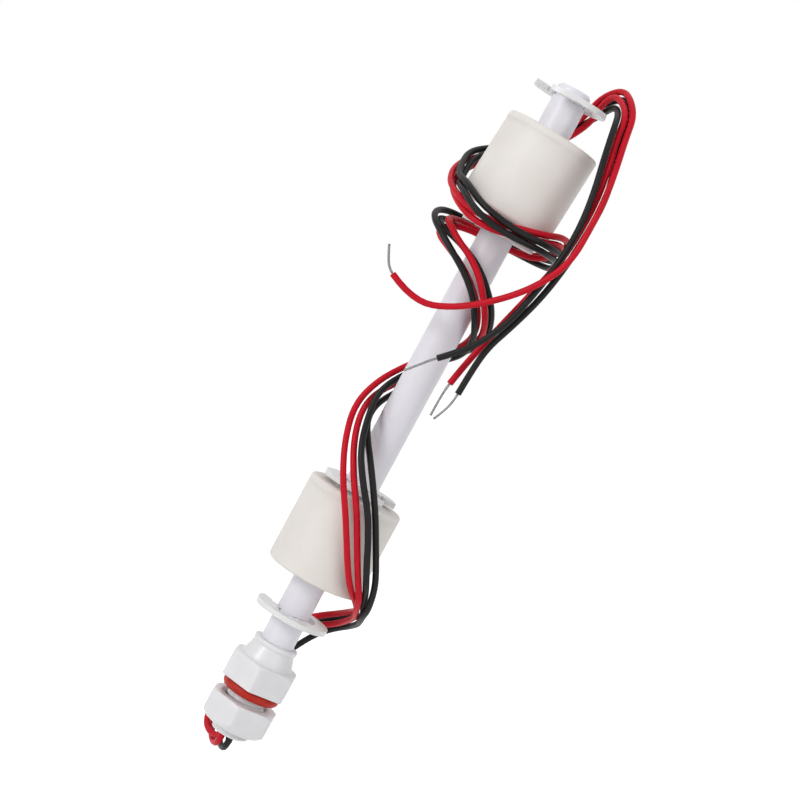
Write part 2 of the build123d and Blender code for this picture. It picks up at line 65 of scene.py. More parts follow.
# Node group: cloudy variation of a finish's colour and roughness, with fine surface unevenness
def build_moulding_group():
    group = bpy.data.node_groups.new("moulded_plastic_variation", "ShaderNodeTree")
    face = group.interface
    for socket_name, kind, value in (
        ("Base", "NodeSocketColor", (0.8, 0.8, 0.8, 1.0)),
        ("Cloud", "NodeSocketColor", (0.7, 0.7, 0.7, 1.0)),
        ("Cloud Amount", "NodeSocketFloat", 0.5),
        ("Cloud Scale", "NodeSocketFloat", 120.0),
        ("Grain Scale", "NodeSocketFloat", 1500.0),
        ("Grain Height", "NodeSocketFloat", 0.2),
        ("Roughness", "NodeSocketFloat", 0.35),
        ("Roughness Spread", "NodeSocketFloat", 0.1),
    ):
        socket = face.new_socket(name=socket_name, in_out="INPUT", socket_type=kind)
        socket.default_value = value
    for socket_name, kind in (
        ("Color", "NodeSocketColor"),
        ("Roughness", "NodeSocketFloat"),
        ("Normal", "NodeSocketVector"),
    ):
        face.new_socket(name=socket_name, in_out="OUTPUT", socket_type=kind)
    add = group.nodes.new
    link = group.links.new
    entry = add("NodeGroupInput")
    leave = add("NodeGroupOutput")
    place = add("ShaderNodeTexCoord")
    cloud = add("ShaderNodeTexNoise")
    cloud.inputs["Detail"].default_value = 3.0
    cloud.inputs["Roughness"].default_value = 0.55
    shade = add("ShaderNodeMapRange")
    shade.inputs["From Min"].default_value = 0.35
    shade.inputs["From Max"].default_value = 0.7
    strength = add("ShaderNodeMath")
    strength.operation = "MULTIPLY"
    colour = add("ShaderNodeMix")
    colour.data_type = "RGBA"
    grain = add("ShaderNodeTexNoise")
    grain.inputs["Detail"].default_value = 2.0
    bump = add("ShaderNodeBump")
    bump.inputs["Distance"].default_value = 0.00005
    spread = add("ShaderNodeMath")
    spread.operation = "MULTIPLY_ADD"
    link(place.outputs["Object"], cloud.inputs["Vector"])
    link(place.outputs["Object"], grain.inputs["Vector"])
    link(entry.outputs["Cloud Scale"], cloud.inputs["Scale"])
    link(cloud.outputs["Fac"], shade.inputs["Value"])
    link(shade.outputs["Result"], strength.inputs[0])
    link(entry.outputs["Cloud Amount"], strength.inputs[1])
    link(strength.outputs["Value"], colour.inputs["Factor"])
    link(entry.outputs["Base"], colour.inputs["A"])
    link(entry.outputs["Cloud"], colour.inputs["B"])
    link(entry.outputs["Grain Scale"], grain.inputs["Scale"])
    link(grain.outputs["Fac"], bump.inputs["Height"])
    link(entry.outputs["Grain Height"], bump.inputs["Strength"])
    link(cloud.outputs["Fac"], spread.inputs[0])
    link(entry.outputs["Roughness Spread"], spread.inputs[1])
    link(entry.outputs["Roughness"], spread.inputs[2])
    link(colour.outputs["Result"], leave.inputs["Color"])
    link(spread.outputs["Value"], leave.inputs["Roughness"])
    link(bump.outputs["Normal"], leave.inputs["Normal"])
    return group


moulding_group = build_moulding_group()


# A finish made of the moulding group and one Principled shader with set sockets
def moulded_finish(name, base, cloud, settings, shader_settings):
    material = bpy.data.materials.new(name)
    material.use_nodes = True
    tree = material.node_tree
    shader = tree.nodes["Principled BSDF"]
    variation = tree.nodes.new("ShaderNodeGroup")
    variation.node_tree = moulding_group
    variation.inputs["Base"].default_value = screen_colour(*base)
    variation.inputs["Cloud"].default_value = screen_colour(*cloud)
    for socket_name, value in settings.items():
        variation.inputs[socket_name].default_value = value
    for socket_name, value in shader_settings.items():
        shader.inputs[socket_name].default_value = value
    tree.links.new(variation.outputs["Color"], shader.inputs["Base Color"])
    tree.links.new(variation.outputs["Roughness"], shader.inputs["Roughness"])
    tree.links.new(variation.outputs["Normal"], shader.inputs["Normal"])
    return material


WHITE_PLASTIC_DEPTH = {
    "Subsurface Weight": 0.25,
    "Subsurface Radius": (1.0, 0.95, 0.9),
    "Subsurface Scale": 0.002,
}
fitting_plastic = moulded_finish(
    "fitting_plastic", (232, 232, 234), (222, 220, 222),
    {"Cloud Amount": 0.6, "Cloud Scale": 160.0, "Grain Height": 0.25, "Roughness": 0.28},
    WHITE_PLASTIC_DEPTH,
)
stem_plastic = moulded_finish(
    "stem_plastic", (233, 231, 238), (226, 224, 232),
    {"Cloud Amount": 0.5, "Cloud Scale": 90.0, "Grain Height": 0.15, "Roughness": 0.33},
    WHITE_PLASTIC_DEPTH,
)
float_plastic = moulded_finish(
    "float_plastic", (234, 229, 224), (226, 220, 214),
    {
        "Cloud Amount": 0.6, "Cloud Scale": 110.0, "Grain Scale": 2200.0, "Grain Height": 0.35,
        "Roughness": 0.5,
    },
    WHITE_PLASTIC_DEPTH,
)
clip_plastic = moulded_finish(
    "clip_plastic", (232, 232, 232), (222, 222, 223),
    {"Cloud Amount": 0.5, "Cloud Scale": 200.0, "Grain Height": 0.15, "Roughness": 0.3},
    WHITE_PLASTIC_DEPTH,
)
seal_silicone = moulded_finish(
    "seal_silicone", (184, 34, 12), (156, 24, 8),
    {"Cloud Amount": 0.6, "Cloud Scale": 260.0, "Grain Height": 0.2, "Roughness": 0.42},
    {"Specular IOR Level": 0.3},
)
red_insulation = moulded_finish(
    "red_insulation", (202, 4, 34), (174, 2, 24),
    {"Cloud Amount": 0.5, "Cloud Scale": 220.0, "Grain Height": 0.15, "Roughness": 0.42},
    {"Specular IOR Level": 0.2},
)
black_insulation = moulded_finish(
    "black_insulation", (18, 17, 18), (12, 12, 14),
    {"Cloud Amount": 0.5, "Cloud Scale": 220.0, "Grain Height": 0.15, "Roughness": 0.42},
    {"Specular IOR Level": 0.22},
)
potting_resin = moulded_finish(
    "potting_resin", (38, 38, 40), (26, 26, 28),
    {"Cloud Amount": 0.5, "Cloud Scale": 300.0, "Grain Height": 0.1, "Roughness": 0.2},
    {},
)
tinned_copper = moulded_finish(
    "tinned_copper", (150, 150, 150), (112, 111, 110),
    {"Cloud Amount": 0.7, "Cloud Scale": 1400.0, "Grain Height": 0.3, "Roughness": 0.3},
    {"Metallic": 0.7},
)
magnet_ferrite = moulded_finish(
    "magnet_ferrite", (62, 62, 66), (44, 44, 48),
    {"Cloud Amount": 0.7, "Cloud Scale": 700.0, "Grain Height": 0.6, "Roughness": 0.6},
    {},
)
reed_metal = moulded_finish(
    "reed_metal", (206, 200, 184), (180, 172, 154),
    {"Cloud Amount": 0.6, "Cloud Scale": 900.0, "Grain Height": 0.2, "Roughness": 0.25},
    {"Metallic": 1.0},
)
sleeve_plastic = moulded_finish(
    "sleeve_plastic", (48, 48, 50), (34, 34, 36),
    {"Cloud Amount": 0.5, "Cloud Scale": 400.0, "Grain Height": 0.4, "Roughness": 0.55},
    {},
)
reed_glass = moulded_finish(
    "reed_glass", (214, 232, 216), (200, 224, 206),
    {
        "Cloud Amount": 0.3, "Cloud Scale": 200.0, "Grain Height": 0.05, "Roughness": 0.05,
        "Roughness Spread": 0.02,
    },
    {"Transmission Weight": 0.9, "IOR": 1.5},
)

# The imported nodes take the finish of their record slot
finish_of_slot = {
    "fitting_plastic": fitting_plastic,
    "stem_plastic": stem_plastic,
    "float_plastic": float_plastic,
    "clip_plastic": clip_plastic,
    "seal_silicone": seal_silicone,
    "red_insulation": red_insulation,
    "black_insulation": black_insulation,
    "potting_resin": potting_resin,
    "tinned_copper": tinned_copper,
    "magnet_ferrite": magnet_ferrite,
    "reed_metal": reed_metal,
    "sleeve_plastic": sleeve_plastic,
    "reed_glass": reed_glass,
}
for subpart in frame["record"]["subparts"]:
    node_mesh = nodes[subpart["node"]].data
    node_mesh.materials.clear()
    node_mesh.materials.append(finish_of_slot[subpart["material_slot"]])


# A piece from a mesh: linked, given the finish of its slot and its body
def add_piece(name, mesh, body, slot_name):
    piece = bpy.data.objects.new(name, mesh)
    bpy.context.scene.collection.objects.link(piece)
    mesh.materials.append(finish_of_slot[slot_name])
    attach(piece, body)
    return piece


# Fitting and clamping nut: rings of points round the stem's axis, with sizes in millimetres
RING_POINTS = 216
SHARP_ANGLE = math.radians(50.0)
FIRST_CORNER = math.radians(-93.0)
CORNER_SHARPNESS = 60.0
EDGE_SOFTNESS = 0.07
EDGE_STEPS = ((0.0, 0.14), (0.03, 0.06), (0.08, 0.02))
EDGE_DEPTH = 0.14
SIDE_STEPS = 44
FLANGE_FLATS = 15.0
FLANGE_TOP = 6.3
FLANGE_CHAMFER = 0.9
NUT_FLATS = 15.2
NUT_CHAMFER = 0.9
NUT_LOWER_CHAMFER = 1.7
NUT_LOWER_CHAMFER_HEIGHT = 1.6
CHAMFER_SLOPE = math.tan(math.radians(40.0))
THREAD_MAJOR_RADIUS = 4.98
THREAD_MINOR_RADIUS = 4.1
THREAD_PITCH = 1.5
THREAD_START = -2.9
THREAD_STEP = 0.1
THREAD_ROOT_SHARE = 0.12
THREAD_FLANK_SHARE = 0.7
RELIEF_RADIUS = 4.5
RELIEF_TOP = -0.05
RELIEF_MIDDLE = -1.4
SHANK_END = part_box("fitting_body")[0][2] / MM
COLLAR_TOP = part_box("fitting_body")[1][2] / MM
NUT_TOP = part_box("clamp_nut")[1][2] / MM
NUT_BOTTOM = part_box("clamp_nut")[0][2] / MM
NUT_BORE_RADIUS = 5.04
NUT_MOUTH_STEPS = ((0.0, 0.4), (0.2, 0.16), (0.38, 0.0))
NUT_TOP_LAND_RADIUS = 6.4
NUT_BOTTOM_LAND_RADIUS = 6.2
SOCKET_RADIUS = 4.03
SOCKET_FLOOR = 2.2
LEAD_BORE_RADIUS = 2.8
LEAD_BORE_WIDENING = 0.2
LEAD_BORE_WIDENING_DEPTH = 0.15


# Distance from the axis to a hexagon with softened corners
def hexagon_radius(across_flats, angle):
    pull = 0.0
    for side in range(6):
        lean = math.cos(angle - FIRST_CORNER - math.radians(30 + 60 * side))
        if lean > 0:
            pull += lean ** CORNER_SHARPNESS
    return across_flats / 2 / pull ** (1 / CORNER_SHARPNESS)


# The smaller of two radii, with a soft change from one to the other
def softened_smaller(first, second):
    low = min(first, second)
    share = math.exp((low - first) / EDGE_SOFTNESS) + math.exp((low - second) / EDGE_SOFTNESS)
    return low - EDGE_SOFTNESS * math.log(share)


# A closed body from rows of rings, each row a function that gives radius and height at an angle
def turned_mesh(name, rows):
    mesh = bpy.data.meshes.new(name)
    shape = bmesh.new()
    rings = []
    for row in rows:
        ring = []
        for column in range(RING_POINTS):
            angle = 2 * math.pi * column / RING_POINTS
            radius, height = row(angle)
            ring.append(shape.verts.new((
                radius * math.cos(angle) * MM, radius * math.sin(angle) * MM, height * MM,
            )))
        rings.append(ring)
    for ring, next_ring in zip(rings, rings[1:] + rings[:1]):
        for column in range(RING_POINTS):
            beside = (column + 1) % RING_POINTS
            shape.faces.new((ring[column], next_ring[column], next_ring[beside], ring[beside]))
    bmesh.ops.recalc_face_normals(shape, faces=shape.faces)
    shape.to_mesh(mesh)
    shape.free()
    mesh.shade_smooth()
    mesh.set_sharp_from_angle(angle=SHARP_ANGLE)
    return mesh


# A row on a circle
def round_row(radius, height):
    return lambda angle: (radius, height)


# A row on a hexagon whose corners are turned off towards each end that has a chamfer
def hexagon_row(across_flats, height, inset, chamfers):
    corner = across_flats / math.sqrt(3)

    def place(angle):
        radius = hexagon_radius(across_flats, angle)
        for end_height, end_inset, slope in chamfers:
            cone = corner - end_inset + abs(end_height - height) / slope
            radius = softened_smaller(radius, cone)
        return radius - inset, height

    return place


# Rows down a hexagon's sides, closer together where its edges are rounded
def hexagon_rows(across_flats, top, bottom, chamfers):
    rows = []
    for depth, inset in EDGE_STEPS:
        rows.append(hexagon_row(across_flats, top - depth, inset, chamfers))
    low = bottom + EDGE_DEPTH
    high = top - EDGE_DEPTH
    for step in range(SIDE_STEPS + 1):
        rows.append(hexagon_row(across_flats, high + (low - high) * step / SIDE_STEPS, 0.0, chamfers))
    for depth, inset in reversed(EDGE_STEPS):
        rows.append(hexagon_row(across_flats, bottom + depth, inset, chamfers))
    return rows


# A row on the shank: the thread's ridge rises out of the relief and is turned off at the shank's end
def thread_row(height):
    def place(angle):
        turn = height / THREAD_PITCH - angle / (2 * math.pi)
        flank = abs((turn % 1.0) * 2.0 - 1.0)
        share = min(1.0, max(0.0, (flank - THREAD_ROOT_SHARE) / THREAD_FLANK_SHARE))
        radius = THREAD_MINOR_RADIUS + (THREAD_MAJOR_RADIUS - THREAD_MINOR_RADIUS) * share
        fade = min(1.0, (THREAD_START - height) / THREAD_PITCH)
        radius = RELIEF_RADIUS + (radius - RELIEF_RADIUS) * fade
        end_limit = THREAD_MINOR_RADIUS + (height - SHANK_END)
        return softened_smaller(radius, end_limit), height

    return place


# The fitting, row by row: bead, collar's cone and foot, flange, relief, thread, lead bore and socket
flange_chamfers = [(FLANGE_TOP, FLANGE_CHAMFER, CHAMFER_SLOPE)]
fitting_rows = [round_row(SOCKET_RADIUS, COLLAR_TOP)]
for radius, drop in (
    (4.5, 0.0), (5.08, 0.0), (5.2, 0.03), (5.29, 0.11), (5.33, 0.24), (5.34, 0.5), (5.33, 0.78),
    (5.28, 0.93), (5.2, 1.03), (5.12, 1.12), (5.09, 1.24), (5.12, 1.4),
):
    fitting_rows.append(round_row(radius, COLLAR_TOP - drop))
for radius, height in (
    (5.3, 9.3), (5.55, 8.5), (5.8, 7.7), (6.0, 7.1), (6.08, 6.88), (6.1, 6.75), (6.11, 6.55),
    (6.15, 6.42), (6.24, 6.34), (6.4, 6.3), (6.8, 6.3), (7.2, 6.3),
):
    fitting_rows.append(round_row(radius, height))
fitting_rows += hexagon_rows(FLANGE_FLATS, FLANGE_TOP, 0.0, flange_chamfers)
for radius, height in (
    (7.1, 0.0), (6.0, 0.0), (RELIEF_RADIUS, 0.0), (RELIEF_RADIUS, RELIEF_TOP),
    (RELIEF_RADIUS, RELIEF_MIDDLE),
):
    fitting_rows.append(round_row(radius, height))
thread_rows = int((THREAD_START - SHANK_END) / THREAD_STEP)
for step in range(thread_rows + 1):
    fitting_rows.append(thread_row(THREAD_START + (SHANK_END - THREAD_START) * step / thread_rows))
for radius, height in (
    (LEAD_BORE_RADIUS + LEAD_BORE_WIDENING, SHANK_END),
    (LEAD_BORE_RADIUS, SHANK_END + LEAD_BORE_WIDENING_DEPTH),
    (LEAD_BORE_RADIUS, SOCKET_FLOOR), (SOCKET_RADIUS, SOCKET_FLOOR),
):
    fitting_rows.append(round_row(radius, height))
fitting = add_piece(
    "threaded_fitting", turned_mesh("threaded_fitting", fitting_rows), "switch_body", "fitting_plastic",
)
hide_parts("fitting_body")

# The nut, row by row: top of the bore, sides with both chamfers, bottom of the bore
nut_chamfers = [
    (NUT_TOP, NUT_CHAMFER, CHAMFER_SLOPE),
    (NUT_BOTTOM, NUT_LOWER_CHAMFER, NUT_LOWER_CHAMFER_HEIGHT / NUT_LOWER_CHAMFER),
]
nut_rows = []
for widening, depth in NUT_MOUTH_STEPS:
    nut_rows.append(round_row(NUT_BORE_RADIUS + widening, NUT_TOP - depth))
nut_rows.append(round_row(NUT_TOP_LAND_RADIUS, NUT_TOP))
nut_rows += hexagon_rows(NUT_FLATS, NUT_TOP, NUT_BOTTOM, nut_chamfers)
nut_rows.append(round_row(NUT_BOTTOM_LAND_RADIUS, NUT_BOTTOM))
for widening, depth in reversed(NUT_MOUTH_STEPS):
    nut_rows.append(round_row(NUT_BORE_RADIUS + widening, NUT_BOTTOM + depth))
nut = add_piece("hexagon_nut", turned_mesh("hexagon_nut", nut_rows), "clamp_nut", "fitting_plastic")
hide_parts("clamp_nut")

# Free leads: points that their smooth lines follow, listed in millimetres
red_1_points = [
    (-1, 1, -12.4), (-1, 1, -14), (-2.1, 2.3, -14.9), (-3.9, 4.3, -15.3),
    (-5.4, 6.8, -14.8), (-6.3, 9.4, -12.9), (-6.5, 12.1, -9.4), (-5.3, 14.3, -4.4),
    (-4.9, 15, 1.2), (-3.4, 14.6, 6.6), (-1.4, 13.4, 11.4), (1.8, 12.9, 15.4),
    (5.4, 11.7, 18.9), (9, 9.4, 21.8), (11.2, 5.4, 24.2), (12.6, -0.2, 26.4),
    (10.9, -6.4, 29.2), (9.1, -10.6, 31.2), (6.9, -12.5, 34.2), (4.6, -13.2, 38),
    (2.2, -13.7, 42.2), (-0.8, -13.9, 47.2), (-4.8, -13.2, 53.4), (-8.2, -10.2, 60.4),
    (-10.1, -4.2, 67.8), (-8, 2.6, 74.6), (-3.6, 6.8, 80.8), (1.4, 7.4, 86),
    (5.4, 4.2, 90.4), (6.2, -0.8, 94.6), (4.2, -5, 99.2), (0.4, -6.4, 103.2),
    (-4.2, -6.6, 106.4), (-8.6, -5.6, 108.4), (-11.6, -2.4, 109.8), (-12, 2, 111.4),
    (-9.4, 4.8, 113.4), (-4.4, 6.2, 114.2), (1.4, 6.8, 114.3), (6.9, 7.2, 114.6),
    (11.1, 6.3, 115.7), (13.6, 2.9, 118), (14, -1.6, 119.9), (12.8, -6.2, 120.2),
    (9.2, -10, 118.7), (3.6, -13, 117.2), (-2, -13.2, 115.9), (-7.4, -11.5, 116.2),
    (-11.6, -7.4, 118.2), (-14, -1.4, 120.4), (-14.4, 4.2, 123.7), (-12.4, 8.3, 127.5),
    (-8.4, 11.8, 130.9), (-4, 13.2, 135.6), (-0.6, 13.3, 140.8), (2.8, 13.2, 145.2),
    (4.9, 12.4, 149.9), (6, 9.2, 154.5), (9, 5.3, 157.6), (11.4, 1, 156.7),
    (14.1, -3.2, 152.8), (14.7, -6.5, 147.4), (15.7, -10.8, 141.1), (16.8, -13.5, 133.4),
    (16.9, -15.3, 125.4), (16.6, -15.9, 117.8), (13.4, -15.9, 110.8), (7.8, -14.6, 104),
    (-0.8, -12.8, 97), (-9.4, -11.6, 94), (-16.1, -10.8, 97.3),
]
red_2_points = [
    (-1, -1, -12.4), (-1, -1, -14.4), (-1.2, 0.6, -16), (-2, 3.2, -16.8),
    (-3.2, 6.2, -16.4), (-4.2, 9, -14.6), (-4.9, 11.3, -11), (-4.3, 12.8, -6),
    (-3.5, 13.4, -0.4), (-2.5, 13.5, 5), (-0.1, 13.5, 9.6), (2.9, 13.2, 13.5),
    (6.5, 12, 16.9), (9.9, 9.6, 19.5), (11.9, 5.4, 22.4), (12.8, 0.3, 24.6),
    (12.2, -5.8, 27), (11.5, -10, 30.4), (9.4, -12, 34), (6.9, -12.9, 38.4),
    (4.2, -13.5, 43.4), (1.2, -13.9, 48.8), (-2.8, -13.4, 54.6), (-6.4, -10.6, 61.2),
    (-8.1, -4.8, 67.2), (-7.2, 2.4, 71.6), (-3.2, 7.6, 76.8), (0.6, 10, 83.6),
    (4.6, 8.6, 89.4), (7.9, 1.8, 93), (7.2, -4.6, 96.8), (4.8, -8.2, 100.8),
    (1.4, -9.2, 105.2), (-2.8, -8.8, 108.6), (-7.4, -7, 110.8), (-10.8, -3.7, 113.2),
    (-11.6, 1, 114), (-9.4, 6.6, 114.9), (-5.4, 8.9, 114.8), (0.6, 8.9, 114.3),
    (6.8, 8.9, 114.6), (11.8, 7.4, 116.8), (14.5, 3.2, 119.6), (14.9, -1.6, 121.6),
    (13, -6.2, 122), (9.4, -10, 120.5), (3.8, -13, 119), (-2, -13.4, 117.6),
    (-7.5, -12.6, 117.7), (-12.3, -8.2, 119.4), (-15.2, -2, 121.4), (-15.8, 3.6, 124.9),
    (-14, 9.2, 128.2), (-9.6, 13.3, 131.9), (-3.9, 15.2, 135.5), (0.9, 14.7, 139.6),
    (4.3, 13.7, 144.2), (6.6, 12.3, 148.9), (6.8, 8.2, 152.6), (8.1, 4.5, 155.6),
    (10.2, 1, 155), (12.5, -3.5, 152.2), (13, -5.8, 146.8), (14, -10.2, 140.9),
    (15.3, -11.8, 133.6), (15.5, -12.2, 125.4), (14.8, -11.8, 116.8), (12.6, -11.2, 107.8),
    (10.4, -10.4, 99.6), (8.6, -9.8, 92.6), (7.2, -9.6, 87), (6.3, -9.6, 82),
]
black_1_points = [
    (1, -1, -12.4), (1, -1, -14.6), (0.8, 0.8, -16.2), (0.1, 3.6, -17),
    (-1, 6.6, -16.6), (-2, 9.5, -14.8), (-2.7, 12, -11.2), (-3.2, 14, -6.2),
    (-3.2, 15.1, -0.6), (-2.3, 15.3, 5), (-0.4, 15.2, 10.4), (3.4, 14.9, 13.8),
    (6.6, 13.8, 17.5), (9.9, 11.4, 21), (12.4, 7.4, 23.2), (14.4, 1.2, 25.6),
    (13.2, -5.4, 28.7), (11.9, -10.4, 32.8), (10.7, -12.3, 35.4), (8.9, -13.5, 39.2),
    (7, -14.3, 43.4), (4, -14.9, 49), (-0.6, -14.2, 54.8), (-4.4, -12.4, 60.8),
    (-6.2, -6.8, 67.4), (-6.8, 0.2, 72.8), (-3.1, 7, 78.9), (1.8, 7.2, 84.3),
    (6.2, 4.8, 88.4), (6.6, -0.8, 92.6), (4.9, -5.4, 96.2), (2, -8, 101),
    (-2.2, -8.8, 104.8), (-7, -8.6, 107.8), (-11.3, -6.6, 110.4), (-14.6, -2.4, 112.8),
    (-14.6, 3.2, 114.8), (-11.2, 7.8, 115.9), (-5.6, 10.2, 115.6), (0.8, 10.6, 115.4),
    (7, 10.5, 115.5), (12.2, 9.4, 116.2), (15, 5.2, 117), (15.3, -1.4, 118.4),
    (13.2, -7.9, 118.5), (9.8, -12, 118.6), (3.6, -14.9, 118.2), (-2.2, -15.1, 118.9),
    (-6.7, -13.6, 120), (-11.5, -8.6, 122.7), (-14.1, -2.5, 123.5), (-14.7, 2.8, 126.6),
    (-14.5, 8.6, 130), (-10, 13, 133.5), (-4.6, 16.1, 137), (0.9, 16.1, 141.3),
    (4.1, 15.2, 145.9), (7.2, 13.3, 150.4), (8.7, 8.9, 152.8), (9.7, 4.8, 153.5),
    (10.6, 0.8, 152.6), (11, -4.9, 150.6), (11.6, -8.2, 146.2), (12.5, -11.6, 140.6),
    (14, -13.6, 133.2), (14.9, -14.3, 125.4), (14.7, -14, 117.6), (13.4, -13.9, 109.6),
    (11.4, -13.9, 100.8), (8.6, -13.9, 94.6), (5.3, -13.8, 89.8), (1.2, -13.4, 85.8),
]
black_2_points = [
    (1, 1, -12.4), (1, 1, -14), (1.2, 2.8, -15), (0.9, 5.6, -15.3),
    (0.2, 8.6, -14.6), (-0.4, 11.2, -12), (-0.9, 13, -7.4), (-1.1, 14.2, -2.2),
    (0.6, 15, 0.6), (2.4, 15, 5.4), (4.6, 14.8, 10), (7.2, 13.8, 14.6),
    (10.4, 11.8, 18.2), (13.4, 8, 21.2), (14.3, 2.2, 23.4), (14.1, -3.8, 25.9),
    (14.4, -7.8, 29), (13.4, -9.6, 34.2), (11.5, -11.2, 38.4), (9.1, -12.2, 42.8),
    (6, -13.5, 48.6), (2.4, -13.2, 54.2), (-1.2, -10.8, 59.2), (-4.4, -6.8, 63.2),
    (-6.2, -1.6, 66.6), (-5.6, 4, 70.2), (-2.4, 9, 74.8), (0.4, 11.4, 80.6),
    (4.3, 11, 87.2), (7.9, 6, 91), (9, 1.4, 95.4), (7, -3.8, 100.6),
    (2.8, -6.2, 105.1), (-1.4, -6.2, 108.2), (-6.6, -4.8, 110.4), (-11.6, -2.3, 111.6),
    (-13.6, 2, 112.9), (-12, 7.2, 113.7), (-7.4, 10.9, 114), (-1.4, 12.3, 114.4),
    (5.2, 12.2, 114.5), (11.6, 11.3, 114.6), (14.9, 6.6, 115), (14.2, -1.4, 116.8),
    (12.6, -7.9, 116.9), (9.4, -11.9, 117), (3.6, -14.9, 116.6), (-2.4, -15.3, 116.9),
    (-7.6, -14.8, 118.3), (-11.7, -9.1, 121), (-13, -2.2, 121.9), (-13.2, 3.4, 125.1),
    (-12.8, 7.4, 129.3), (-8.8, 11.5, 133.1), (-5.1, 14.3, 138), (-0.4, 15.5, 142.6),
    (2.5, 14.5, 147), (5.8, 13.5, 151.6), (8.1, 9.7, 154.4), (10.3, 5.6, 156),
    (12.2, 2.1, 155.6), (13.8, -1.6, 151.6), (14.4, -4.8, 146.4), (15.5, -8.8, 140.7),
    (17, -11.2, 133.8), (17, -12.6, 125.8), (16.4, -12, 116.8), (14.8, -12, 107.6),
    (12.2, -12, 99.4), (9.8, -12, 93), (9.1, -12, 86.6), (8.9, -12, 81),
]
LEAD_DIAMETER = 1.5 * MM
TIP_DIAMETER = 0.6 * MM
OUTER_STRANDS = 6
STRAND_SHARE = 0.19
STRAND_SIDES = 6
STRAND_PITCH = 7.0 * MM
STEPS_BETWEEN_SPOTS = 3


# A curve object with one NURBS spline of order 3 that reaches its end points
def route_curve(name, points):
    curve = bpy.data.curves.new(name, "CURVE")
    curve.dimensions = "3D"
    spline = curve.splines.new("NURBS")
    spline.points.add(len(points) - 1)
    for spot, point in zip(spline.points, points):
        spot.co = (point[0] * MM, point[1] * MM, point[2] * MM, 1.0)
    spline.order_u = 3
    spline.use_endpoint_u = True
    curve.resolution_u = 6
    line = bpy.data.objects.new(name, curve)
    bpy.context.scene.collection.objects.link(line)
    return line


# The points along a route, read from its own spline without thickness
def points_along(points):
    line = route_curve("route_line", points)
    bpy.context.view_layer.update()
    mesh = bpy.data.meshes.new_from_object(line)
    spots = [vertex.co.copy() for vertex in mesh.vertices]
    curve = line.data
    bpy.data.objects.remove(line)
    bpy.data.curves.remove(curve)
    bpy.data.meshes.remove(mesh)
    return spots


# Frames that follow a line without twisting: place, side and up at each spot
def steady_frames(spots):
    frames = []
    side = None
    for index, spot in enumerate(spots):
        before = spots[max(index - 1, 0)]
        after = spots[min(index + 1, len(spots) - 1)]
        ahead = (after - before).normalized()
        if side is None:
            side = ahead.orthogonal().normalized()
        side = (side - ahead * side.dot(ahead)).normalized()
        frames.append((spot, side.copy(), ahead.cross(side)))
    return frames


# Bare end of a lead: outer strands wound round a straight one in the middle
def strand_mesh(name, points):
    spots = points_along(points)
    dense = [spots[0]]
    for start, end in zip(spots, spots[1:]):
        for step in range(1, STEPS_BETWEEN_SPOTS + 1):
            dense.append(start.lerp(end, step / STEPS_BETWEEN_SPOTS))
    frames = steady_frames(dense)
    strand_radius = TIP_DIAMETER * STRAND_SHARE
    lay_radius = TIP_DIAMETER / 2 - strand_radius
    mesh = bpy.data.meshes.new(name)
    shape = bmesh.new()
    for strand in range(OUTER_STRANDS + 1):
        travelled = 0.0
        rings = []
        centre_line = []
        for index, (spot, side, up) in enumerate(frames):
            if index:
                travelled += (spot - frames[index - 1][0]).length
            turn = 2 * math.pi * (strand / OUTER_STRANDS + travelled / STRAND_PITCH)
            reach = 0.0 if strand == OUTER_STRANDS else lay_radius
            centre_line.append(spot + (side * math.cos(turn) + up * math.sin(turn)) * reach)
        for spot, side, up in steady_frames(centre_line):
            ring = []
            for corner in range(STRAND_SIDES):
                angle = 2 * math.pi * corner / STRAND_SIDES
                place = spot + (side * math.cos(angle) + up * math.sin(angle)) * strand_radius
                ring.append(shape.verts.new(place))
            rings.append(ring)
        for low, high in zip(rings, rings[1:]):
            for corner in range(STRAND_SIDES):
                following = (corner + 1) % STRAND_SIDES
                shape.faces.new((low[corner], low[following], high[following], high[corner]))
        shape.faces.new(list(reversed(rings[0])))
        shape.faces.new(rings[-1])
    for face in shape.faces:
        face.smooth = True
    shape.to_mesh(mesh)
    shape.free()
    return mesh


# Each lead: name, route, finish, length in metres and the bare end's own points
leads = [
    ("red_1", red_1_points, "red_insulation", 0.4127,
     [(-16.1, -10.8, 97.3), (-17.2, -10.7, 97.9), (-18.6, -10.5, 99.8), (-19.9, -10.3, 102.7)]),
    ("red_2", red_2_points, "red_insulation", 0.4172,
     [(6.3, -9.6, 82.0), (6.1, -9.6, 80.9), (5.9, -9.7, 77.6), (5.9, -9.8, 73.9)]),
    ("black_1", black_1_points, "black_insulation", 0.422,
     [(1.2, -13.4, 85.8), (0.3, -13.3, 85.0), (-1.7, -13.2, 82.6), (-3.9, -13.0, 80.0)]),
    ("black_2", black_2_points, "black_insulation", 0.4167,
     [(8.9, -12.0, 81.0), (8.85, -12.0, 79.7), (8.2, -12.0, 76.6), (6.8, -12.0, 73.7)]),
]
for lead_name, points, slot_name, length, tip_points in leads:
    strands = add_piece(
        "strands_" + lead_name, strand_mesh("strands_" + lead_name, tip_points),
        "switch_body", "tinned_copper",
    )
    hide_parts("wire_tip_" + lead_name)
    lead = route_curve("lead_" + lead_name, points)
    lead.data.bevel_depth = LEAD_DIAMETER / 2
    lead.data.bevel_resolution = 3
    lead.data.use_fill_caps = True
    lead.data.materials.append(finish_of_slot[slot_name])
    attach(lead, "switch_body")
    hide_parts("wire_" + lead_name)


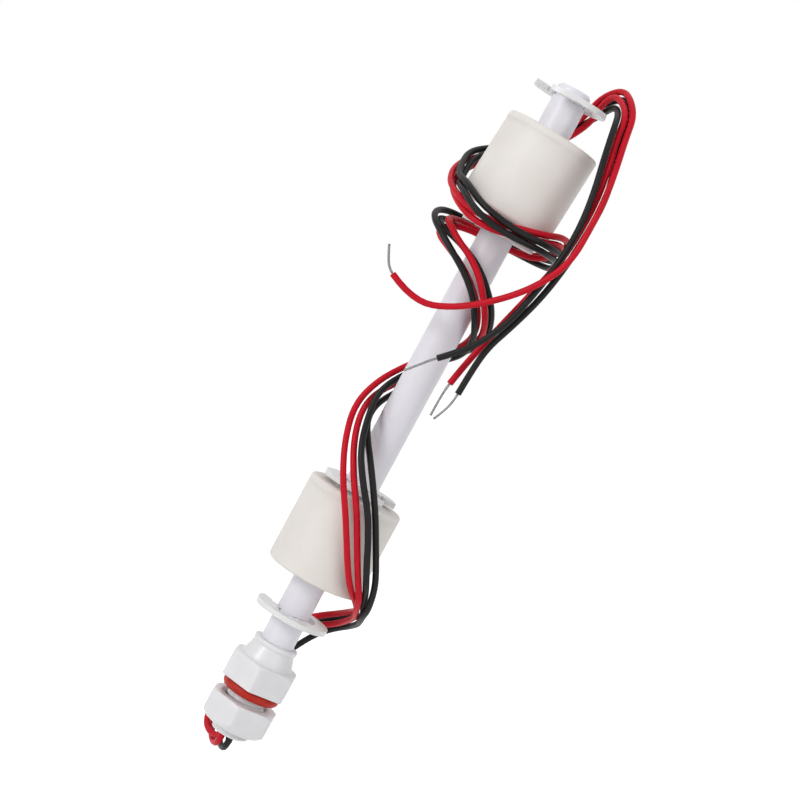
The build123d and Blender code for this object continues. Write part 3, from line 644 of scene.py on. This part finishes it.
# Camera: level with the middle of the stem, rolled so that the stem leans across the picture
AIM = Vector((-1.6, 0.0, 73.0)) * MM
VIEW_DISTANCE = 450.0 * MM
VIEW_ELEVATION = math.radians(4.0)
VIEW_ROLL = math.radians(28.4)
forward = Vector((0.0, math.cos(VIEW_ELEVATION), -math.sin(VIEW_ELEVATION)))
level_right = Vector((1.0, 0.0, 0.0))
level_up = Vector((0.0, math.sin(VIEW_ELEVATION), math.cos(VIEW_ELEVATION)))
picture_right = level_right * math.cos(VIEW_ROLL) + level_up * math.sin(VIEW_ROLL)
picture_up = level_up * math.cos(VIEW_ROLL) - level_right * math.sin(VIEW_ROLL)
camera_data = bpy.data.cameras.new("camera")
camera_data.lens = 90.11
camera_data.sensor_width = 36.0
camera_data.clip_start = 0.01
camera_data.clip_end = 20.0
camera = bpy.data.objects.new("camera", camera_data)
camera.matrix_world = Matrix.Translation(AIM - forward * VIEW_DISTANCE) @ Matrix(
    (picture_right, picture_up, -forward)
).transposed().to_4x4()
bpy.context.scene.collection.objects.link(camera)
bpy.context.scene.camera = camera


# A soft lamp that looks at the middle of the stem from a place given along the picture's own axes
def soft_lamp(name, right, up, toward_camera, size, power):
    lamp_data = bpy.data.lights.new(name, "AREA")
    lamp_data.shape = "DISK"
    lamp_data.size = size
    lamp_data.energy = power
    lamp = bpy.data.objects.new(name, lamp_data)
    place = AIM + picture_right * right + picture_up * up - forward * toward_camera
    lamp.location = place
    lamp.rotation_euler = (AIM - place).to_track_quat("-Z", "Y").to_euler()
    bpy.context.scene.collection.objects.link(lamp)


soft_lamp("key_lamp", -0.5, 0.55, 0.65, 0.35, 3.3)
soft_lamp("fill_lamp", 0.65, 0.0, 0.65, 0.7, 1.7)
soft_lamp("top_lamp", 0.1, 0.9, -0.2, 0.5, 0.9)


# White where the camera looks, or a mirror or glass shows it, and plain light everywhere else
def build_backdrop_light(tree, strength):
    paths = tree.nodes.new("ShaderNodeLightPath")
    seen = tree.nodes.new("ShaderNodeMath")
    seen.operation = "MAXIMUM"
    shown = tree.nodes.new("ShaderNodeMath")
    shown.operation = "MAXIMUM"
    level = tree.nodes.new("ShaderNodeMapRange")
    level.inputs["To Min"].default_value = strength
    level.inputs["To Max"].default_value = 1.0
    tree.links.new(paths.outputs["Is Camera Ray"], seen.inputs[0])
    tree.links.new(paths.outputs["Is Glossy Ray"], seen.inputs[1])
    tree.links.new(seen.outputs["Value"], shown.inputs[0])
    tree.links.new(paths.outputs["Is Transmission Ray"], shown.inputs[1])
    tree.links.new(shown.outputs["Value"], level.inputs["Value"])
    return level


WORLD_STRENGTH = 0.5
world = bpy.data.worlds.new("studio_world")
world.use_nodes = True
bpy.context.scene.world = world
surround = world.node_tree.nodes["Background"]
surround.inputs["Color"].default_value = (1.0, 1.0, 1.0, 1.0)
world_level = build_backdrop_light(world.node_tree, WORLD_STRENGTH)
world.node_tree.links.new(world_level.outputs["Result"], surround.inputs["Strength"])

# Floor well below the leads, white to the camera but still darker where the object shades it
FLOOR_HEIGHT = -0.14
FLOOR_REACH = 4.0
FLOOR_GLOW = 0.7
floor_mesh = bpy.data.meshes.new("floor")
floor_mesh.from_pydata(
    [
        (-FLOOR_REACH, -FLOOR_REACH, FLOOR_HEIGHT), (FLOOR_REACH, -FLOOR_REACH, FLOOR_HEIGHT),
        (FLOOR_REACH, FLOOR_REACH, FLOOR_HEIGHT), (-FLOOR_REACH, FLOOR_REACH, FLOOR_HEIGHT),
    ],
    [], [(0, 1, 2, 3)],
)
floor = bpy.data.objects.new("floor", floor_mesh)
bpy.context.scene.collection.objects.link(floor)
floor_paper = bpy.data.materials.new("floor_paper")
floor_paper.use_nodes = True
floor_tree = floor_paper.node_tree
paper = floor_tree.nodes["Principled BSDF"]
paper.inputs["Base Color"].default_value = (0.9, 0.9, 0.9, 1.0)
paper.inputs["Roughness"].default_value = 0.9
glow = floor_tree.nodes.new("ShaderNodeEmission")
mixed = floor_tree.nodes.new("ShaderNodeAddShader")
glow_level = build_backdrop_light(floor_tree, 0.0)
glow_level.inputs["To Max"].default_value = FLOOR_GLOW
floor_tree.links.new(glow_level.outputs["Result"], glow.inputs["Strength"])
floor_tree.links.new(paper.outputs["BSDF"], mixed.inputs[0])
floor_tree.links.new(glow.outputs["Emission"], mixed.inputs[1])
floor_tree.links.new(mixed.outputs["Shader"], floor_tree.nodes["Material Output"].inputs["Surface"])
floor_mesh.materials.append(floor_paper)

bpy.context.scene.view_settings.view_transform = "Standard"
